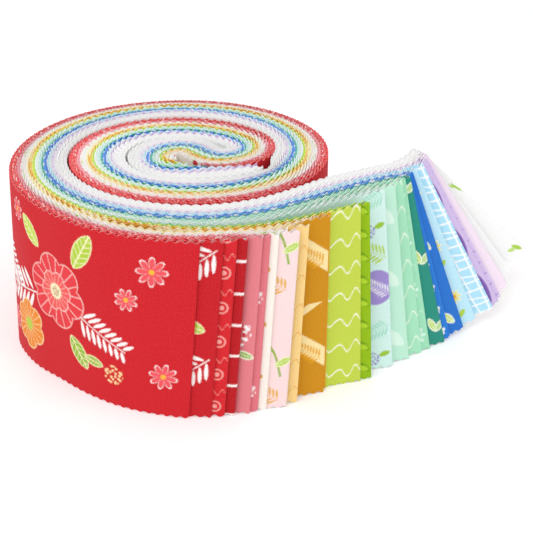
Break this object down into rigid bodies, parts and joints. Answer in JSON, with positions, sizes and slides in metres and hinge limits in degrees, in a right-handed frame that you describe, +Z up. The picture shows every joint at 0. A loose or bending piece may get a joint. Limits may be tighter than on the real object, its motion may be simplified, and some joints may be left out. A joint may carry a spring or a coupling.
{
  "type": "jelly roll fabric strips",
  "caption": "Roll of folded pinked cotton quilting strips standing on edge, its tail fanned out so that the rainbow of folded ends shows.",
  "frame": {"origin": "middle of the object's outline on the surface it stands on", "axes": "+Z up along the width of the strips, +X to the side where the tail fans out, +Y to the back"},
  "size_m": [0.188, 0.1239, 0.0635],
  "materials": {
    "red_stack_cotton": "matt",
    "red_floral_end_cotton": "matt",
    "red_leaf_end_cotton": "matt",
    "red_scroll_end_cotton": "matt",
    "pink_flower_end_cotton": "matt",
    "cream_berry_end_cotton": "matt",
    "pale_pink_vine_end_cotton": "matt",
    "pale_yellow_end_cotton": "matt",
    "mustard_leaf_end_cotton": "matt",
    "lime_vine_end_cotton": "matt",
    "dark_lime_end_cotton": "matt",
    "aqua_flower_end_cotton": "matt",
    "pale_mint_end_cotton": "matt",
    "mint_vine_end_cotton": "matt",
    "teal_end_cotton": "matt",
    "blue_fleck_end_cotton": "matt",
    "blue_leaf_end_cotton": "matt",
    "light_blue_flower_end_cotton": "matt",
    "light_blue_patch_end_cotton": "matt",
    "purple_check_end_cotton": "matt",
    "pale_pink_plain_end_cotton": "matt",
    "white_dot_end_cotton": "matt",
    "white_leaf_end_cotton": "matt"
  },
  "bodies": {
    "root": {"wound_stack": "red_stack_cotton", "red_floral_end": "red_floral_end_cotton", "red_leaf_end": "red_leaf_end_cotton", "red_scroll_end": "red_scroll_end_cotton", "pink_flower_end": "pink_flower_end_cotton", "cream_berry_end": "cream_berry_end_cotton", "pale_pink_vine_end": "pale_pink_vine_end_cotton", "pale_yellow_end": "pale_yellow_end_cotton", "mustard_leaf_end": "mustard_leaf_end_cotton", "lime_vine_end": "lime_vine_end_cotton", "dark_lime_end": "dark_lime_end_cotton", "aqua_flower_end": "aqua_flower_end_cotton", "pale_mint_end": "pale_mint_end_cotton", "mint_vine_end": "mint_vine_end_cotton", "teal_end": "teal_end_cotton", "blue_fleck_end": "blue_fleck_end_cotton", "blue_leaf_end": "blue_leaf_end_cotton", "light_blue_flower_end": "light_blue_flower_end_cotton", "light_blue_patch_end": "light_blue_patch_end_cotton", "purple_check_end": "purple_check_end_cotton", "pale_pink_plain_end": "pale_pink_plain_end_cotton", "white_dot_end": "white_dot_end_cotton", "white_leaf_end": "white_leaf_end_cotton"}
  },
  "joints": []
}
